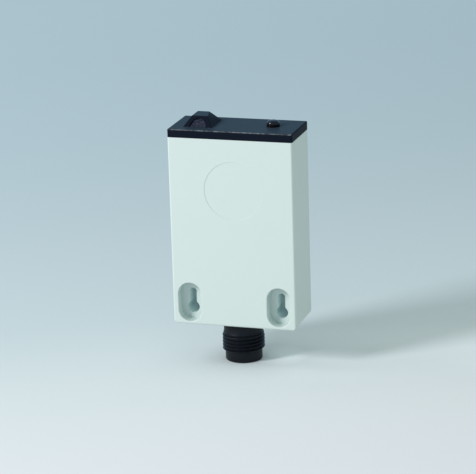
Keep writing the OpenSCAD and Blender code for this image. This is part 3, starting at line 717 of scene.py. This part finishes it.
def connector_mesh():
    """The plug's shell in one turned body: nose, cut thread, neck with its groove, flange, collar, bore."""
    chamfer = NOSE_EDGE * NOSE_CHAMFER_SHARE
    rows = [(BORE_R + NOSE_EDGE, 0), (NOSE_R - NOSE_EDGE, 0), (NOSE_R - chamfer, chamfer),
            (NOSE_R, NOSE_EDGE), (NOSE_R, NOSE_L - NOSE_STEP)]
    step = THREAD_PITCH / THREAD_ROWS_PER_TURN
    count = round((THREAD_TOP_Z - NOSE_L) / step)
    rows += [(thread_radius(NOSE_L + i * step), NOSE_L + i * step) for i in range(1, count)]
    groove_low, groove_high = GROOVE_MID_Z - GROOVE_H / 2, GROOVE_MID_Z + GROOVE_H / 2
    flange_top = FLANGE_Z + FLANGE_T
    rows += [(NECK_R, THREAD_TOP_Z), (NECK_R, groove_low), (GROOVE_R, groove_low), (GROOVE_R, groove_high),
             (NECK_R, groove_high), (NECK_R, FLANGE_Z), (FLANGE_R, FLANGE_Z), (FLANGE_R, flange_top),
             (COLLAR_R, flange_top), (COLLAR_R, COLLAR_TOP_Z), (HEAD_R, COLLAR_TOP_Z), (HEAD_R, HEAD_SEAT_Z),
             (BORE_R, HEAD_SEAT_Z), (BORE_R, NOSE_EDGE)]
    bm = turned(rows, THREAD_COLUMNS)
    return finish_mesh(bm, "threaded_shell", crease_degrees=35)


def block_mesh(name, low, high, rounding):
    """A box between two corners, in millimetres, with rounded edges."""
    bm = bmesh.new()
    bmesh.ops.create_cube(bm, size=1)
    size = Vector(high) - Vector(low)
    bmesh.ops.scale(bm, vec=size, verts=bm.verts)
    bmesh.ops.translate(bm, vec=(Vector(low) + Vector(high)) / 2, verts=bm.verts)
    bmesh.ops.bevel(bm, geom=bm.edges, offset=rounding, segments=3, profile=0.5, affect="EDGES")
    to_metres(bm)
    return finish_mesh(bm, name)


def join_solid(thing, other_mesh, turn=0.0):
    """Adds a second closed mesh to a piece as one solid."""
    other = placed("join_tool", other_mesh)
    other.rotation_euler.z = turn
    modifier = thing.modifiers.new("join", "BOOLEAN")
    modifier.operation = "UNION"
    modifier.solver = "EXACT"
    modifier.object = other
    bpy.context.view_layer.update()
    evaluated = thing.evaluated_get(bpy.context.evaluated_depsgraph_get())
    joined = bpy.data.meshes.new_from_object(evaluated)
    thing.modifiers.remove(modifier)
    thing.data = joined
    bpy.data.objects.remove(other)


def lens_mesh():
    """The lens: a dome on a straight stem over a flange, with the hollow that the lamp sits in."""
    base_z = LENS_LOW.z
    rise = LENS_HIGH.z - LENS_SIDE_TOP
    flange_r = (LENS_HIGH.x - LENS_LOW.x) / 2
    hollow_top = base_z + LENS_HOLLOW_TOP
    rows = [(LENS_HOLLOW_R, base_z), (flange_r, base_z), (flange_r, base_z + LENS_FLANGE_T),
            (LENS_R, base_z + LENS_FLANGE_T), (LENS_R, CAP_TOP_Z), (LENS_R, LENS_SIDE_TOP)]
    for i in range(1, DOME_STEPS + 1):
        angle = DOME_LAST_ANGLE * i / DOME_STEPS
        rows.append((LENS_R * math.cos(angle) ** (2 / LENS_FULLNESS),
                     LENS_SIDE_TOP + rise * math.sin(angle) ** (2 / LENS_FULLNESS)))
    rows += [(HOLLOW_TIP_R, hollow_top), (LENS_HOLLOW_R, hollow_top)]
    bm = turned(rows, LENS_COLUMNS)
    middle = (LENS_LOW + LENS_HIGH) / 2
    bmesh.ops.translate(bm, vec=Vector((middle.x, middle.y, 0)) * MM, verts=bm.verts)
    return finish_mesh(bm, "lens_dome", crease_degrees=40)


def crust_point(across, up, top, back):
    """A corner of the potting's face; across runs from -1 to 1 over the window, and up from 0 to 1."""
    outward = Vector((0, -HOOD_SLOPE_RISE, HOOD_SLOPE_RUN)).normalized()
    foot_z = CAP_TOP_Z + CRUST_LIFT
    z = foot_z + (max(top, foot_z + CRUST_LEAST_H) - foot_z) * up
    x = HOOD_X + across * (WINDOW_HALF - CRUST_EDGE)
    point = Vector((x, POTTING_LOW.y + (z - foot_z) * HOOD_SLOPE_RUN / HOOD_SLOPE_RISE, z))
    if back:
        return point - outward * CRUST_T
    edge = min(1.0, CRUST_FADE * min(1 - abs(across), 1 - up, CRUST_FOOT_SHARE + up))
    fine = noise.noise(point * CRUST_FINE)
    coarse = noise.fractal(point * CRUST_COARSE, CRUST_FRACTAL_H, CRUST_LACUNARITY, CRUST_OCTAVES)
    rough = coarse + CRUST_FINE_SHARE * fine
    return point + outward * (CRUST_ROUGHNESS * rough * edge + CRUST_SINK * (edge - 1))


def crust_mesh():
    """The rough face of the potting: an arched slab whose front is pushed out and in by noise."""
    arch_r = (WINDOW_HALF ** 2 + WINDOW_RISE ** 2) / (2 * WINDOW_RISE)
    bm = bmesh.new()

    def sheet(back):
        columns = []
        for i in range(CRUST_COLUMNS + 1):
            across = 2 * i / CRUST_COLUMNS - 1
            x = across * (WINDOW_HALF - CRUST_EDGE)
            top = CAP_TOP_Z + WINDOW_RISE - arch_r + math.sqrt(max(0.0, arch_r ** 2 - x ** 2))
            columns.append([bm.verts.new(crust_point(across, j / CRUST_ROWS, top, back) * MM)
                            for j in range(CRUST_ROWS + 1)])
        return columns

    front, rear = sheet(False), sheet(True)
    for i in range(CRUST_COLUMNS):
        for j in range(CRUST_ROWS):
            bm.faces.new((front[i][j], front[i + 1][j], front[i + 1][j + 1], front[i][j + 1]))
            bm.faces.new((rear[i][j], rear[i][j + 1], rear[i + 1][j + 1], rear[i + 1][j]))
    border = [(i, 0) for i in range(CRUST_COLUMNS)] + [(CRUST_COLUMNS, j) for j in range(CRUST_ROWS)]
    border += [(i, CRUST_ROWS) for i in range(CRUST_COLUMNS, 0, -1)]
    border += [(0, j) for j in range(CRUST_ROWS, 0, -1)]
    for (i, j), (k, n) in zip(border, border[1:] + border[:1]):
        bm.faces.new((front[i][j], rear[i][j], rear[k][n], front[k][n]))
    return finish_mesh(bm, "potting_crust", crease_degrees=60)


housing_shell = piece("housing_shell", housing_mesh(), "housing_plastic", "housing")
even_normals(housing_shell)
cap_shell = piece("end_cap_shell", cap_mesh(), "cap_plastic", "end_cap")
even_normals(cap_shell)

plug_shell = piece("threaded_plug", connector_mesh(), "connector_plastic", "connector_shell")
key_block = block_mesh("coding_key", (BORE_R - KEY_REACH, -KEY_WIDTH / 2, KEY_LOW_Z),
                       (BORE_R + NOSE_EDGE, KEY_WIDTH / 2, KEY_HIGH_Z), KEY_EDGE)
join_solid(plug_shell, key_block, math.radians(KEY_ANGLE))

piece("lens_dome", lens_mesh(), "lens_plastic", "indicator_lens")

potting_body = clean_copy("sensor_potting")
to_metres(potting_body)
potting_mesh = finish_mesh(potting_body, "potting_face")
potting = piece("potting_face", potting_mesh, "potting_compound", "sensor_potting")
join_solid(potting, crust_mesh())

# The CAD's own nodes keep their shapes and get their materials
for row in frame["record"]["subparts"]:
    paint(nodes[row["node"]], MATERIALS[row["material_slot"]])


# Camera

def photo_camera():
    """The camera at the photograph's place, turned by its yaw, elevation and roll."""
    ahead = -direction(-CAMERA_YAW, CAMERA_ELEVATION)
    yaw, roll = math.radians(CAMERA_YAW), math.radians(CAMERA_ROLL)
    level = Vector((math.cos(yaw), math.sin(yaw), 0))
    above = level.cross(ahead)
    right = level * math.cos(roll) + above * math.sin(roll)
    up = above * math.cos(roll) - level * math.sin(roll)
    data = bpy.data.cameras.new("photo_camera")
    data.sensor_width = SENSOR_WIDTH
    data.lens = FOCAL_LENGTH_PX / IMAGE_WIDTH_PX * SENSOR_WIDTH
    data.clip_start = CLIP_START
    data.clip_end = CLIP_END
    camera = placed("photo_camera", data)
    place = (-ahead * CAMERA_DISTANCE + right * CAMERA_ASIDE + up * CAMERA_RAISED) * MM
    turn = Matrix((right, up, -ahead)).transposed().to_4x4()
    camera.matrix_world = Matrix.Translation(place) @ turn
    bpy.context.scene.camera = camera


photo_camera()


# Floor, backdrop and light

def floor_material():
    """Pale paper, darkened away from the camera by painted shade; it isn't there from below, nor under the
    socket.
    """
    m = Material("floor_paper", (0.7, 0.8, 0.85), 0.9, Specular_IOR_Level=0.0)
    yaw = math.radians(CAMERA_YAW)
    ahead = m.vector("DOT_PRODUCT", m.place, (-math.sin(yaw), math.cos(yaw), 0))
    aside = m.vector("DOT_PRODUCT", m.place, (math.cos(yaw), math.sin(yaw), 0))
    distance = m.math("ADD", ahead, m.math("MULTIPLY", aside, FLOOR_TONE_SKEW))
    # Painted shade: the paper's tones darken it from near to far
    paper = m.ramp(m.spread(distance, 0, 1, *FLOOR_TONE_BAND), FLOOR_TONES)
    # Painted light beside the plug and in a spot at its foot, where the plug's shadow falls
    across = m.spread(m.math("ABSOLUTE", ahead, 0), BESIDE_PAINTED_LIGHT, 0, *BESIDE_DEPTH_BAND)
    beside = m.math("MULTIPLY", across, m.spread(aside, 0, 1, *BESIDE_START_BAND))
    light_spot = m.spread(m.vector("DISTANCE", m.place, PAINTED_LIGHT_SPOT), SPOT_PAINTED_LIGHT, 0, 0, PAINTED_LIGHT_SPOT_R)
    with_painted_light = m.vector("MULTIPLY", paper, m.math("ADD", m.math("ADD", beside, light_spot), 1.0))
    # Painted shade round the foot of the key lamp
    shade_under_lamp = m.spread(m.vector("DISTANCE", m.place, KEY_FOOT), UNDER_LAMP_SHADE, 1, *UNDER_LAMP_SHADE_BAND)
    m.color(m.vector("MULTIPLY", with_painted_light, shade_under_lamp))
    m.bump((m.noise(1.5, detail=3), 0.01))
    clear = m.add("ShaderNodeBsdfTransparent").outputs["BSDF"]
    below = m.add("ShaderNodeNewGeometry").outputs["Backfacing"]
    under_socket = m.math("LESS_THAN", m.vector("LENGTH", m.place), BORE_R * MM)
    open_here = m.math("MAXIMUM", below, under_socket)
    join = m.add("ShaderNodeMixShader", {0: open_here, 1: m.shader.outputs["BSDF"], 2: clear})
    m.set(m.tree.nodes["Material Output"], "Surface", join.outputs["Shader"])
    return m.made


def make_floor():
    bm = bmesh.new()
    bmesh.ops.create_grid(bm, x_segments=8, y_segments=8, size=FLOOR_REACH)
    mesh = bpy.data.meshes.new("floor")
    bm.to_mesh(mesh)
    bm.free()
    floor = placed("floor", mesh)
    paint(floor, floor_material())


def make_lamp(name, left_of_front, elevation, distance, size, level, tint):
    """A soft round lamp, set so that a face turned to it gets that level."""
    towards = direction(left_of_front, elevation)
    data = bpy.data.lights.new(name, "AREA")
    data.shape = "DISK"
    data.size = size
    data.color = tint
    data.energy = level * math.pi ** 2 * distance ** 2
    lamp = placed(name, data)
    lamp.location = towards * distance
    lamp.rotation_mode = "QUATERNION"
    lamp.rotation_quaternion = towards.to_track_quat("Z", "Y")


def make_world():
    """Even light from all round; the camera sees the backdrop's tone, and mirror-like faces a bluer one."""
    world = bpy.data.worlds.new("studio")
    world.use_nodes = True
    bpy.context.scene.world = world
    w = Nodes(world.node_tree)
    light = w.tree.nodes["Background"]
    w.set(light, "Color", WORLD_TINT)
    w.set(light, "Strength", WORLD_LEVEL)
    rays = w.add("ShaderNodeLightPath").outputs
    tone = w.mix(rays["Is Glossy Ray"], BACKDROP_TONE, MIRRORED_TONE)
    backdrop = w.add("ShaderNodeBackground", {"Color": tone}).outputs["Background"]
    seen = w.math("MAXIMUM", rays["Is Camera Ray"], rays["Is Transmission Ray"])
    mirrored = w.math("MAXIMUM", seen, rays["Is Glossy Ray"])
    choice = w.add("ShaderNodeMixShader", {0: mirrored, 1: light.outputs["Background"], 2: backdrop})
    w.set(w.tree.nodes["World Output"], "Surface", choice.outputs["Shader"])


make_floor()
make_lamp("key_lamp", KEY_LEFT_OF_FRONT, KEY_ELEVATION, KEY_DISTANCE, KEY_SIZE, KEY_LEVEL, KEY_TINT)
make_lamp("top_lamp", TOP_LEFT_OF_FRONT, TOP_ELEVATION, TOP_DISTANCE, TOP_SIZE, TOP_LEVEL, TOP_TINT)
make_world()
bpy.context.scene.view_settings.view_transform = "Standard"
